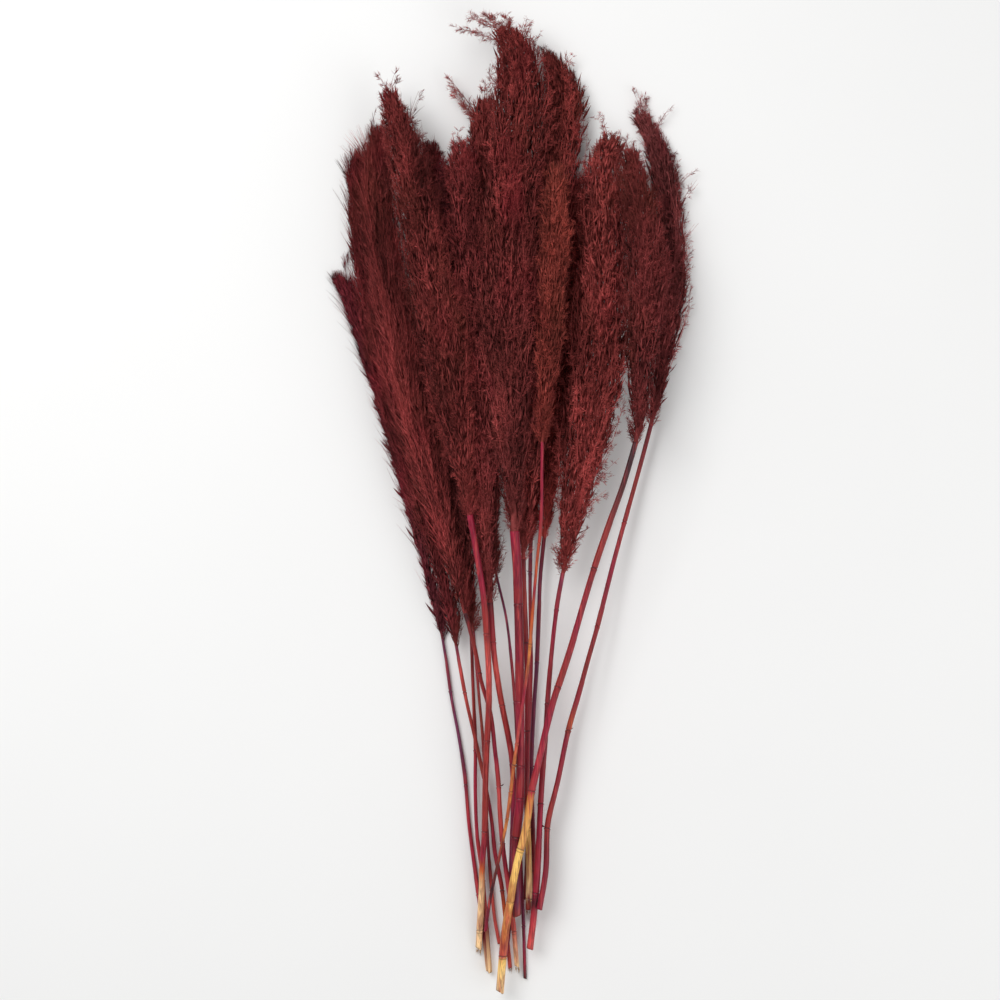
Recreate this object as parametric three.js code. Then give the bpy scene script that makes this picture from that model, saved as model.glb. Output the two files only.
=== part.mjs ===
// A bundle of cut and dried pampas grass, dyed dark red, lying on a flat surface.
//
// Millimetres, +Z up. The cut ends of the stems point to -Y and the tips of the plumes to +Y.
// The origin is the middle of the bundle's footprint, on the surface that it lies on.
//
// Each stalk is a jointed reed stem with one feathery plume. Its route is drawn on a flat plan, and
// the stalks are then laid on the surface one after another: each one comes to rest on the surface
// and on the stalks laid before it, so the bundle becomes a loose heap in which nothing overlaps.
import * as THREE from 'three';

// ---- Overall sizes ----------------------------------------------------------------------------

const BUNDLE_LENGTH = 984; // from the longest stem's cut end to the tallest plume's tip
const BUNDLE_SPREAD = 352; // across the fan of plumes, between the outermost plumes' middles

// The plan that the routes below are drawn on.
const PLAN_LENGTH = 984;
const PLAN_SPREAD = 352;

// ---- Stems ------------------------------------------------------------------------------------

const JOINT_SWELL = 0.45; // how far a joint stands out from the stem
const JOINT_HALF_LENGTH = 3.2; // of the swelling along the stem
const STEM_SIDES = 8;
const STEM_STEP = 46; // longest straight length between two rings of a stem

// ---- Plumes -----------------------------------------------------------------------------------

const PLUME_DEPTH = 0.36; // thickness of a lying plume over its width
const PLUME_BELLY = 0.46; // where a plume is widest, from its foot 0 to its tip 1
const PLUME_FOOT_COLLAR = 1.6; // how far the foot of the plume stands out from the stem
const PLUME_TIP_RADIUS = 2.4; // of the blunt end
const PLUME_SIDES = 12;
const PLUME_RINGS = 13;
const TIP_ROUNDING = 2.2; // 2 closes the upper half as an ellipse, more makes it fuller

// ---- Fits -------------------------------------------------------------------------------------

const FOOT_GAP = 0.3; // between the top of a stem and the foot of its plume
const LAY_GAP = 0.9; // left between two stalks where one lies on another
const FLOOR_PRESS = 1.2; // how far a plume's soft underside is pressed flat by the surface

// ---- Laying the heap --------------------------------------------------------------------------

const STATION = 8; // between the sections where the stalks are compared
const BEND_REACH = 5; // stations on each side over which a bend over another stalk is eased
const DROOP = 0.16; // steepest fall of a stalk past the last point that holds it up
const CONTACT_SAMPLES = 24;

// ---- Colours and finish -----------------------------------------------------------------------

const PLUME_FINISH = { color: 0x5a2024, roughness: 0.95, metalness: 0 };
const STEM_FINISH = { color: 0x96303c, roughness: 0.45, metalness: 0 };

// ---- The stalks, in the order they are laid ---------------------------------------------------
//
// route: [across, along] from the cut end to the plume's tip.
// foot: along the bundle, where the stem ends and the plume begins.
// joints: along the bundle, where the reed has its joints.
// butt, neck: the stem's radius at its cut end and under its plume.
// plume: half of the plume's width at its widest.
const STALKS = [
  {
    name: 'far_left', foot: 353, butt: 2.3, neck: 1.4, plume: 13,
    joints: [95, 205, 300],
    route: [
      [-18, 18], [-23, 60], [-29, 104], [-37, 163], [-43, 227], [-55, 293], [-64, 353],
      [-84, 440], [-106, 525], [-129, 605], [-154, 680], [-178, 750],
    ],
  },
  {
    name: 'back_left', foot: 393, butt: 2, neck: 1.7, plume: 25,
    joints: [110, 241],
    route: [
      [-16, 18], [-25, 129], [-30, 163], [-31, 205], [-31, 258], [-33, 293], [-35, 353], [-38, 393],
      [-52, 493], [-65, 593], [-72, 693], [-75, 793], [-77, 857],
    ],
  },
  {
    name: 'back_middle', foot: 363, butt: 1.7, neck: 1.5, plume: 24,
    joints: [100, 215],
    route: [
      [-7, 46], [-12, 75], [-17, 129], [-19, 160], [-23, 249], [-27, 293], [-33, 363],
      [-43, 453], [-49, 553], [-54, 653], [-58, 753], [-62, 834],
    ],
  },
  {
    name: 'tufted', foot: 419, butt: 1.7, neck: 1.3, plume: 26,
    joints: [64, 170, 290],
    route: [
      [19, 11], [17.5, 64], [15, 129], [12, 213], [8, 299], [0, 375], [-10, 419],
      [-17, 493], [-20, 593], [-20, 693], [-21, 793], [-23, 905],
    ],
  },
  {
    name: 'back_right', foot: 455, butt: 2.2, neck: 1.8, plume: 24,
    joints: [170, 290, 419],
    route: [
      [19, 92], [22, 160], [23, 233], [24, 293], [25, 343], [24, 393], [25, 455],
      [31, 543], [41, 643], [53, 733], [64, 793], [72, 848],
    ],
  },
  {
    name: 'inner_right', foot: 456, butt: 2.3, neck: 2, plume: 23,
    joints: [120, 224, 330],
    route: [
      [27, 66], [27, 150], [25, 224], [26, 241], [27, 276], [30, 317], [32, 362], [35, 433],
      [38, 456], [43, 513], [54, 593], [66, 673], [76, 753], [81, 824],
    ],
  },
  {
    name: 'middle_right', foot: 435, butt: 3, neck: 2.4, plume: 28,
    joints: [93, 165, 262, 350],
    route: [
      [22, 81], [23, 108], [22, 150], [20.5, 196], [21, 241], [21, 303], [20, 343], [17, 435],
      [20, 543], [28, 643], [39, 743], [52, 843], [66, 936],
    ],
  },
  {
    name: 'outer_left', foot: 348, butt: 2, neck: 1.7, plume: 22,
    joints: [100, 212, 300],
    route: [
      [4, 22], [-3, 92], [-7, 121], [-12, 143], [-16, 183], [-23, 218], [-28, 241], [-40, 293],
      [-50, 348], [-63, 413], [-85, 493], [-107, 573], [-127, 653], [-141, 733], [-147, 793],
      [-149, 850],
    ],
  },
  {
    name: 'inner_left', foot: 392, butt: 2.5, neck: 3, plume: 28,
    joints: [110, 229, 288, 351],
    route: [
      [-1, 33], [3, 67], [7, 187], [6, 232], [2, 258], [-5, 293], [-12, 339], [-16, 392],
      [-22, 473], [-26, 573], [-31, 673], [-37, 773], [-45, 868],
    ],
  },
  {
    name: 'combed_left', foot: 381, butt: 2.4, neck: 2, plume: 27,
    joints: [60, 150, 206, 320],
    route: [
      [11, 23], [6, 79], [0, 121], [-5, 163], [-8, 214], [-11, 241], [-14.5, 276], [-22, 299],
      [-33, 353], [-41, 381], [-54, 433], [-71, 493], [-90, 563], [-107, 643], [-121, 723],
      [-132, 803], [-138, 885],
    ],
  },
  {
    name: 'tallest', foot: 463, butt: 4.3, neck: 4.6, plume: 33,
    joints: [157, 196, 229, 293, 390],
    route: [
      [11, 76.5], [9.5, 133], [10, 157], [13.5, 196], [14, 229], [13.5, 293], [13, 343],
      [10.5, 433], [8, 463], [5, 543], [2, 643], [4, 743], [9, 843], [13, 913], [4, 974],
    ],
  },
  {
    name: 'curly', foot: 421, butt: 3.4, neck: 2, plume: 36,
    joints: [100, 190, 290, 384],
    route: [
      [23.5, 42], [27, 73], [29.5, 100], [32, 142], [34, 187], [35.5, 214], [38.5, 250],
      [41, 293], [46.5, 357], [53, 408], [56, 421], [66, 483], [80, 563], [91, 643], [97, 723],
      [97, 793], [92, 868],
    ],
  },
  {
    name: 'far_right', foot: 568, butt: 2.9, neck: 2.1, plume: 23,
    joints: [165, 262, 366, 470],
    route: [
      [33, 85], [38.5, 117], [41, 142], [41, 167], [48, 196], [58, 245], [64, 271], [73.5, 303],
      [83, 338], [91, 366], [108, 433], [145, 568], [156, 623], [166, 693], [165, 763],
      [156, 828], [139, 887],
    ],
  },
  {
    name: 'slender_front', foot: 550, butt: 1.6, neck: 1.5, plume: 17,
    joints: [176, 203, 230, 252, 350, 450],
    route: [
      [-21, 60], [-14.5, 104], [-6, 142], [1, 178], [7, 227], [14, 278], [21.5, 330], [25.5, 379],
      [30, 433], [34, 471], [35, 550], [39, 603], [44, 683], [47, 763], [50, 866],
    ],
  },
  {
    name: 'crossing', foot: 550, butt: 3.9, neck: 2.7, plume: 22,
    joints: [38, 93, 146, 204, 308, 425],
    route: [
      [-6.5, 0], [-1, 63], [5.5, 104], [10.5, 133], [18.5, 163], [25, 204], [34.5, 245],
      [46, 293], [60, 335], [79.5, 403], [91, 440], [127, 550], [131, 613], [136, 693],
      [136, 773], [128, 843],
    ],
  },
  {
    name: 'front_left', foot: 479, butt: 3, neck: 3, plume: 29,
    joints: [60, 161, 253, 360],
    route: [
      [-28, 40], [-24.5, 100], [-24, 129], [-21.5, 163], [-20.5, 223], [-17, 303], [-19, 353],
      [-22, 393], [-28, 433], [-36, 479], [-48, 563], [-63, 653], [-81, 743], [-96, 823],
      [-108, 910],
    ],
  },
];

// ---- Curves -----------------------------------------------------------------------------------

// The value at t on a smooth curve through [value, position] points with rising positions.
function smoothThrough(points, t) {
  const last = points.length - 1;
  let i = 0;
  while (i < last - 1 && points[i + 1][1] < t) i += 1;
  const [before, start, end, after] = [i - 1, i, i + 1, i + 2].map(
    (k) => points[Math.min(Math.max(k, 0), last)],
  );
  const span = end[1] - start[1];
  const startSlope = (end[0] - before[0]) / (end[1] - before[1]);
  const endSlope = (after[0] - start[0]) / (after[1] - start[1]);
  const u = THREE.MathUtils.clamp((t - start[1]) / span, 0, 1);
  const rise = u * u * (3 - 2 * u);
  const leave = u * (1 - u) * (1 - u) * span * startSlope;
  const arrive = u * u * (u - 1) * span * endSlope;
  return start[0] + (end[0] - start[0]) * rise + leave + arrive;
}

// The value at t on straight lines between [value, position] points with rising positions.
function straightThrough(points, t) {
  let i = 0;
  while (i < points.length - 2 && points[i + 1][1] < t) i += 1;
  const [a, b] = [points[i], points[i + 1]];
  return THREE.MathUtils.mapLinear(THREE.MathUtils.clamp(t, a[1], b[1]), a[1], b[1], a[0], b[0]);
}

// Even steps from start to end, none longer than the given one.
function steps(start, end, longest) {
  const count = Math.max(1, Math.ceil((end - start) / longest));
  return Array.from({ length: count + 1 }, (_, i) => start + ((end - start) * i) / count);
}

// ---- One stalk --------------------------------------------------------------------------------

// A stem's outline as [radius, along]: an even taper with a swelling at each joint.
function stemOutline(stalk) {
  const end = stalk.foot - FOOT_GAP;
  const taper = (y) => THREE.MathUtils.mapLinear(y, stalk.cut, stalk.foot, stalk.butt, stalk.neck);
  const outline = [];
  let from = stalk.cut;
  for (const joint of stalk.joints) {
    const below = steps(from, joint - JOINT_HALF_LENGTH, STEM_STEP);
    for (const y of below) outline.push([taper(y), y]);
    outline.push([taper(joint) + JOINT_SWELL, joint]);
    from = joint + JOINT_HALF_LENGTH;
  }
  for (const y of steps(from, end, STEM_STEP)) outline.push([taper(y), y]);
  return outline;
}

// A plume's outline as [half width, along]: a quarter sine up to the belly, then a rounded close.
function plumeOutline(stalk) {
  const foot = stalk.neck + PLUME_FOOT_COLLAR;
  return Array.from({ length: PLUME_RINGS }, (_, i) => {
    const t = i / (PLUME_RINGS - 1);
    const below = Math.sin(((Math.PI / 2) * Math.min(t, PLUME_BELLY)) / PLUME_BELLY);
    const beyond = Math.max(0, t - PLUME_BELLY) / (1 - PLUME_BELLY);
    const close = Math.sqrt(1 - beyond ** TIP_ROUNDING);
    const end = t < PLUME_BELLY ? foot : PLUME_TIP_RADIUS;
    const width = end + (stalk.plume - end) * below * close;
    return [width, THREE.MathUtils.lerp(stalk.foot, stalk.tip, t)];
  });
}

// A stalk from the list, stretched from the plan to the bundle's size.
function stalkFrom(entry) {
  const along = BUNDLE_LENGTH / PLAN_LENGTH;
  const across = BUNDLE_SPREAD / PLAN_SPREAD;
  const route = entry.route.map(([x, y]) => [x * across, y * along]);
  const stalk = {
    ...entry,
    route,
    joints: entry.joints.map((y) => y * along),
    foot: entry.foot * along,
    cut: route[0][1],
    tip: route[route.length - 1][1],
    height: [],
  };
  stalk.stem = stemOutline(stalk);
  stalk.body = plumeOutline(stalk);
  return stalk;
}

const sideways = (stalk, y) => smoothThrough(stalk.route, y);

// How much wider a slanting stalk is when it is measured straight across the bundle.
function slant(stalk, y) {
  const step = 1;
  const slope = (sideways(stalk, y + step) - sideways(stalk, y - step)) / (2 * step);
  return Math.hypot(1, slope);
}

// Half of a stalk's width and thickness in the section across the bundle at y.
function section(stalk, y) {
  if (y < stalk.foot) {
    const radius = straightThrough(stalk.stem, y);
    return { width: radius * slant(stalk, y), depth: radius, soft: 0 };
  }
  const width = straightThrough(stalk.body, y);
  const press = Math.min(FLOOR_PRESS, (width * PLUME_DEPTH) / 4);
  return { width: width * slant(stalk, y), depth: width * PLUME_DEPTH, soft: press };
}

// ---- The heap ---------------------------------------------------------------------------------

// How high one oval's middle must be above another's, with their middles the given distance apart.
function liftOver(upper, lower, apart) {
  const left = Math.max(-lower.width, apart - upper.width);
  const right = Math.min(lower.width, apart + upper.width);
  if (left >= right) return -Infinity;
  let lift = 0;
  for (let i = 1; i < CONTACT_SAMPLES; i += 1) {
    const x = left + ((right - left) * i) / CONTACT_SAMPLES;
    const top = lower.depth * Math.sqrt(Math.max(0, 1 - (x / lower.width) ** 2));
    const bottom = upper.depth * Math.sqrt(Math.max(0, 1 - ((x - apart) / upper.width) ** 2));
    lift = Math.max(lift, top + bottom);
  }
  return lift;
}

// The lowest that a stalk's middle can be at y, over the surface and the stalks already laid.
function lowestAt(stalk, laid, y) {
  const own = section(stalk, y);
  const wide = { width: own.width + LAY_GAP, depth: own.depth + LAY_GAP };
  let lowest = own.depth - own.soft;
  for (const other of laid) {
    if (y < other.cut - STATION || y > other.tip + STATION) continue;
    const under = section(other, THREE.MathUtils.clamp(y, other.cut, other.tip));
    const apart = sideways(stalk, y) - sideways(other, y);
    lowest = Math.max(lowest, heightOf(other, y) + liftOver(wide, under, apart));
  }
  return lowest;
}

const heightOf = (stalk, y) => straightThrough(stalk.height, y);

// The needed heights, raised so that a stalk never falls more steeply than it would droop.
function drooping(needed) {
  const raised = needed.map(([z, y]) => [z, y]);
  const keepUp = (i, from) => {
    const fall = DROOP * Math.abs(raised[i][1] - raised[from][1]);
    raised[i][0] = Math.max(raised[i][0], raised[from][0] - fall);
  };
  for (let i = 1; i < raised.length; i += 1) keepUp(i, i - 1);
  for (let i = raised.length - 2; i >= 0; i -= 1) keepUp(i, i + 1);
  return raised;
}

// A stiff line over the needed heights: straight between the points where it is held up.
function stretchedOver(needed) {
  const held = [];
  for (const point of drooping(needed)) {
    while (held.length > 1) {
      const [a, b] = held.slice(-2);
      const turn = (b[1] - a[1]) * (point[0] - a[0]) - (b[0] - a[0]) * (point[1] - a[1]);
      if (turn < 0) break;
      held.pop();
    }
    held.push(point);
  }
  return needed.map(([, y]) => [straightThrough(held, y), y]);
}

// The same line with its bends eased, raised so that it still clears everything under it.
function eased(line, needed) {
  const soft = line.map(([, y], i) => {
    const reach = Math.min(BEND_REACH, i, line.length - 1 - i);
    const near = line.slice(i - reach, i + reach + 1);
    return [near.reduce((sum, [z]) => sum + z, 0) / near.length, y];
  });
  const short = Math.max(...needed.map(([z], i) => z - soft[i][0]));
  return soft.map(([z, y]) => [z + short, y]);
}

// Gives every stalk its height along its length, in the order they are laid.
function layHeap(stalks) {
  stalks.forEach((stalk, i) => {
    const laid = stalks.slice(0, i);
    const needed = steps(stalk.cut, stalk.tip, STATION).map((y) => [lowestAt(stalk, laid, y), y]);
    stalk.height = eased(stretchedOver(needed), needed);
  });
}

// ---- Solids -----------------------------------------------------------------------------------

// Turns an outline about the stalk's middle line, which may curve both sideways and upwards.
function bentSolid(stalk, outline, depth, sides) {
  const first = outline[0][1];
  const last = outline[outline.length - 1][1];
  const profile = [[0, first], ...outline, [0, last]].map(([r, y]) => new THREE.Vector2(r, y));
  const halfSide = Math.PI / sides; // turned by half a side, so a flat side faces the surface
  const geometry = new THREE.LatheGeometry(profile, sides, halfSide);
  const at = geometry.attributes.position;
  for (let i = 0; i < at.count; i += 1) {
    const y = at.getY(i);
    const x = sideways(stalk, y) + at.getX(i) * slant(stalk, y);
    const z = heightOf(stalk, y) + at.getZ(i) * depth;
    at.setXYZ(i, x, y, Math.max(0, z));
  }
  geometry.computeVertexNormals();
  return geometry;
}

function piece(name, geometry, finish) {
  const mesh = new THREE.Mesh(geometry, new THREE.MeshStandardMaterial(finish));
  mesh.name = name;
  return mesh;
}

// One stalk as a group of its stem and its plume.
function stalkPieces(stalk) {
  const pieces = new THREE.Group();
  const stem = bentSolid(stalk, stalk.stem, 1, STEM_SIDES);
  const plume = bentSolid(stalk, stalk.body, PLUME_DEPTH, PLUME_SIDES);
  pieces.add(piece(`stem_${stalk.name}`, stem, STEM_FINISH));
  pieces.add(piece(`plume_${stalk.name}`, plume, PLUME_FINISH));
  return pieces;
}

// ---- The bundle -------------------------------------------------------------------------------

function bundleOf(stalks) {
  const bundle = new THREE.Group();
  for (const stalk of stalks) bundle.add(stalkPieces(stalk));
  const box = new THREE.Box3().setFromObject(bundle);
  const middle = box.getCenter(new THREE.Vector3());
  bundle.position.set(-middle.x, -middle.y, -box.min.z);
  return bundle;
}

const stalks = STALKS.map(stalkFrom);
layHeap(stalks);

export default bundleOf(stalks);
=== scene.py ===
"""A bundle of dyed pampas grass: reed stems, feathery plumes and a plain stage, built round the frame."""

import math
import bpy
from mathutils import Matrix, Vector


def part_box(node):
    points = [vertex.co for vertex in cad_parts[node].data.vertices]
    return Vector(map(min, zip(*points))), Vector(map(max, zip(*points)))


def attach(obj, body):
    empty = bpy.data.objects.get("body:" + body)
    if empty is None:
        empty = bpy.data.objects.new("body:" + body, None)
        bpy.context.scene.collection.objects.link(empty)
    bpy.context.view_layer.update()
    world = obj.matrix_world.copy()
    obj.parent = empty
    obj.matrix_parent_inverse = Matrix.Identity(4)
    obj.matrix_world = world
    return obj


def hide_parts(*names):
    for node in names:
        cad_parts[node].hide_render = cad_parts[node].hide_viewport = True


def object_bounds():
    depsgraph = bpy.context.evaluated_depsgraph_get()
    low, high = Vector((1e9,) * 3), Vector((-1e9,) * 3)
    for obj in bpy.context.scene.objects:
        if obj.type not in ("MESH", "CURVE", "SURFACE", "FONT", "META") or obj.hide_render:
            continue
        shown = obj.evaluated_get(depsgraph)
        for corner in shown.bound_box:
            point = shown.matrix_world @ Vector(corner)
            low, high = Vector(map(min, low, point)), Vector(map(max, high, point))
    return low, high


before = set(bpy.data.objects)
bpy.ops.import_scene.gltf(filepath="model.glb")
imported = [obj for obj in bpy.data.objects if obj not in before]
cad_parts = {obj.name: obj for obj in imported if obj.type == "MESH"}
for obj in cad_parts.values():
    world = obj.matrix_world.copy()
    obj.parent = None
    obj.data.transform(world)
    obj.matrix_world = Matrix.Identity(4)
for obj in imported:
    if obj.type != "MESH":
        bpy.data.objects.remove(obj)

from types import SimpleNamespace
from typing import NamedTuple

import bpy
import numpy as np
from mathutils import Vector

bl_info = {
    "name": "Pampas Grass Bundle",
    "version": (1, 0, 0),
    "blender": (4, 5, 0),
    "location": "View3D > Sidebar > Pampas",
    "description": "Grows jointed reed stems and feathery plumes round the stalks of a bundle",
    "category": "Object",
}

MM = 0.001
CAD_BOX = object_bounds()


def shade(red, green, blue):
    """A colour as it is mixed on a screen, 0 to 255, turned into the linear values that shaders take."""
    parts = [value / 255 for value in (red, green, blue)]
    return tuple(p / 12.92 if p <= 0.04045 else ((p + 0.055) / 1.055) ** 2.4 for p in parts)


# ---- Dyes and habits ----

DYES = {
    "tan": shade(255, 212, 158),
    "straw": shade(252, 204, 112),
    "golden": shade(206, 124, 62),
    "orange": shade(198, 92, 38),
    "salmon": shade(202, 80, 74),
    "brick": shade(146, 44, 40),
    "crimson": shade(148, 26, 54),
    "red": shade(172, 42, 58),
    "maroon": shade(118, 30, 42),
    "purple": shade(108, 44, 76),
    "brown": shade(132, 54, 44),
    "dark": shade(58, 24, 30),
}

# How each reed took the dye: shares of its length from the cut end, and the dye at each.
REED_DYES = {
    "far_left": [
        (0, "tan"), (0.1, "maroon"), (0.25, "crimson"), (0.5, "red"), (0.62, "purple"), (1, "purple"),
    ],
    "back_left": [
        (0, "tan"), (0.12, "brown"), (0.2, "salmon"), (0.3, "red"), (0.55, "crimson"), (0.7, "brick"),
        (1, "maroon"),
    ],
    "back_middle": [
        (0, "salmon"), (0.18, "salmon"), (0.24, "maroon"), (0.5, "crimson"), (0.7, "brown"),
        (1, "crimson"),
    ],
    "tufted": [
        (0, "dark"), (0.05, "crimson"), (0.16, "purple"), (0.3, "crimson"), (0.6, "maroon"),
        (1, "purple"),
    ],
    "back_right": [
        (0, "maroon"), (0.3, "maroon"), (0.6, "crimson"), (0.8, "brick"), (0.93, "purple"),
        (1, "maroon"),
    ],
    "inner_right": [
        (0, "crimson"), (0.2, "maroon"), (0.5, "purple"), (0.8, "purple"), (1, "maroon"),
    ],
    "middle_right": [
        (0, "brick"), (0.03, "brown"), (0.05, "tan"), (0.2, "straw"), (0.28, "orange"),
        (0.31, "maroon"), (0.6, "red"), (0.8, "maroon"), (0.9, "brick"), (1, "maroon"),
    ],
    "outer_left": [
        (0, "salmon"), (0.15, "orange"), (0.3, "crimson"), (0.5, "crimson"), (0.62, "brown"),
        (0.75, "brick"), (0.92, "salmon"), (1, "purple"),
    ],
    "inner_left": [
        (0, "crimson"), (0.3, "purple"), (0.5, "crimson"), (0.7, "brick"), (0.82, "salmon"),
        (0.95, "crimson"), (1, "dark"),
    ],
    "combed_left": [
        (0, "tan"), (0.12, "salmon"), (0.2, "salmon"), (0.3, "crimson"), (0.46, "salmon"),
        (0.6, "crimson"), (0.85, "brick"), (1, "dark"),
    ],
    "tallest": [
        (0, "brown"), (0.05, "purple"), (0.2, "maroon"), (0.3, "crimson"), (0.4, "maroon"),
        (0.5, "crimson"), (0.8, "maroon"), (1, "crimson"),
    ],
    "curly": [
        (0, "salmon"), (0.1, "red"), (0.13, "dark"), (0.16, "crimson"), (0.4, "crimson"),
        (0.6, "maroon"), (0.9, "crimson"), (1, "purple"),
    ],
    "far_right": [
        (0, "crimson"), (0.12, "maroon"), (0.2, "brick"), (0.35, "crimson"), (0.37, "brown"),
        (0.385, "orange"), (0.42, "crimson"), (0.5, "brick"), (0.7, "crimson"), (0.85, "brick"),
        (1, "maroon"),
    ],
    "slender_front": [
        (0, "crimson"), (0.09, "dark"), (0.18, "brown"), (0.22, "golden"), (0.36, "golden"),
        (0.4, "salmon"), (0.5, "crimson"), (0.58, "golden"), (0.66, "orange"), (0.7, "crimson"),
        (0.76, "orange"), (0.84, "crimson"), (1, "crimson"),
    ],
    "crossing": [
        (0, "tan"), (0.065, "straw"), (0.07, "salmon"), (0.11, "golden"), (0.25, "straw"),
        (0.36, "golden"), (0.375, "red"), (0.5, "crimson"), (0.58, "brick"), (0.65, "crimson"),
        (0.8, "brick"), (0.95, "dark"),
    ],
    "front_left": [
        (0, "tan"), (0.14, "tan"), (0.19, "orange"), (0.22, "crimson"), (0.3, "brick"), (0.55, "brick"),
        (0.65, "salmon"), (0.75, "brick"), (0.85, "crimson"), (1, "crimson"),
    ],
}

# How the fluff of a plume grows. branches: for each 100 mm. reach: a branch's length. opening: how
# soon a branch swings out. fork: a branchlet's length, its angle in degrees and how much that varies.
# splay: a spikelet's angle and how much that varies. spikelet: its length in mm, likewise. thickness:
# a spikelet's, over its length. curl: how far a branchlet turns aside. strands: long hairs for each
# branchlet. strand: the shortest and the longest of those hairs, in mm.
HABITS = {
    "soft": SimpleNamespace(
        branches=50, reach=120 * MM, opening=2.0, fork=(20 * MM, 22, 13), splay=(36, 18),
        spikelet=(4.7, 1.3), thickness=0.105, curl=0.9, strands=0.2, strand=(12, 26),
    ),
    "combed": SimpleNamespace(
        branches=50, reach=170 * MM, opening=1.5, fork=(34 * MM, 9, 5), splay=(15, 8),
        spikelet=(7.6, 2.4), thickness=0.072, curl=0.15, strands=1.6, strand=(26, 52),
    ),
    "curly": SimpleNamespace(
        branches=56, reach=100 * MM, opening=2.6, fork=(16 * MM, 36, 18), splay=(44, 20),
        spikelet=(4.3, 1.2), thickness=0.125, curl=1.3, strands=0.1, strand=(10, 18),
    ),
}


class Kind(NamedTuple):
    """How one plume grows and is dyed. Lengths are in mm.

    foot and tip are its dyes at its two ends. lean is how far its end leans over sideways, and over
    what length. trim is the width of its fluff over the width of its solid, how much shorter it is,
    and how much wider again at its top. Each of its sprays, which stray from it, has its start as a
    share of the plume, its reach sideways and along, and its number of spikelets.
    """

    habit: str
    foot: tuple
    tip: tuple
    lean: tuple = (0, 90)
    trim: tuple = (1, 0, 0)
    sprays: tuple = ()


PLUMES = {
    "far_left": Kind(
        "combed", (96, 42, 48), (79, 25, 31), trim=(0.62, 30, -0.75),
        sprays=[
            (0.84, -12, 64, 40), (0.88, -6, 60, 36), (0.8, -12, 50, 30), (0.2, -12, 50, 60),
            (0.3, -12, 60, 60),
        ],
    ),
    "back_left": Kind("soft", (112, 50, 48), (100, 40, 40)),
    "back_middle": Kind("soft", (120, 54, 52), (92, 38, 42)),
    "tufted": Kind(
        "soft", (132, 61, 59), (122, 52, 50), trim=(1.05, 4, 0.2),
        sprays=[(0.93, 2, 44, 140), (0.93, 9, 38, 100), (0.91, -38, 60, 240), (0.9, -30, 50, 240)],
    ),
    "back_right": Kind("soft", (138, 55, 54), (120, 46, 44), lean=(4, 80), trim=(1.1, 30, 0)),
    "inner_right": Kind("soft", (150, 60, 56), (148, 56, 52), lean=(4, 80), trim=(1.1, 22, 0)),
    "middle_right": Kind(
        "soft", (140, 62, 60), (116, 49, 46), lean=(-30, 66), trim=(1.22, -12, 0.35),
        sprays=[(0.93, 8, 26, 80), (0.93, -14, 26, 80)],
    ),
    "outer_left": Kind(
        "combed", (98, 38, 40), (70, 22, 24), trim=(0.88, 12, 0),
        sprays=[(0.93, -2, 40, 60), (0.88, -6, 36, 60)],
    ),
    "inner_left": Kind(
        "soft", (130, 57, 57), (116, 47, 47), lean=(-3, 60), trim=(1.08, 16, 0.1),
        sprays=[(0.94, -8, 34, 90), (0.94, 8, 26, 60)],
    ),
    "combed_left": Kind(
        "combed", (120, 50, 49), (91, 36, 35), lean=(9, 130), trim=(1.06, 20, -0.25),
        sprays=[(0.9, 0, 50, 50), (0.94, 6, 32, 60)],
    ),
    "tallest": Kind(
        "soft", (113, 50, 49), (110, 44, 42), lean=(-12, 30), trim=(1.14, 8, 0.5),
        sprays=[
            (0.94, -58, 26, 280), (0.95, -44, 32, 280), (0.96, -28, 30, 240), (0.96, -12, 30, 200),
            (0.93, 10, 40, 160), (0.9, 18, 44, 120), (0.84, -26, 20, 60),
        ],
    ),
    "curly": Kind(
        "curly", (152, 64, 62), (130, 58, 55), lean=(16, 60), trim=(1.14, 8, -0.05),
        sprays=[
            (0.96, -8, 36, 90), (0.94, 8, 22, 60), (0.06, 26, 46, 110), (0.02, 20, 34, 90),
            (0.1, 36, 40, 110), (0.0, -9, 30, 60), (0.12, 42, 60, 110),
        ],
    ),
    "far_right": Kind(
        "soft", (142, 66, 66), (108, 54, 54), lean=(-8, 60), trim=(0.88, 0, 0),
        sprays=[
            (0.94, -10, 40, 160), (0.7, 26, 34, 60), (0.62, 26, 50, 60), (0.5, 26, 46, 50),
            (0.9, 14, 30, 50),
        ],
    ),
    "slender_front": Kind("soft", (126, 53, 47), (118, 52, 44), trim=(1.1, 40, -0.35)),
    "crossing": Kind(
        "soft", (112, 48, 48), (91, 37, 36), lean=(-8, 200), trim=(1.25, 0, -0.1),
        sprays=[(0.96, -6, 22, 70)],
    ),
    "front_left": Kind(
        "soft", (120, 50, 48), (98, 39, 38), lean=(-14, 90), trim=(1.16, 6, -0.3),
        sprays=[(0.95, -8, 28, 80), (0.97, 8, 24, 60), (0.86, 14, 50, 60)],
    ),
}

# Dead buds and thorns left at a joint: the joint counted from the cut end, its side and its length.
BUDS = {
    "far_right": [(0, -1, 8.0), (1, 1, 4.0)],
    "combed_left": [(2, 1, 5.0)],
    "inner_right": [(1, 1, 4.0)],
    "inner_left": [(2, 1, 2.6)],
    "crossing": [(3, 1, 3.2)],
    "back_right": [(2, -1, 3.4)],
}
RAGGED_ENDS = ("front_left", "middle_right", "combed_left", "outer_left")


# ---- Settings ----


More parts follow.
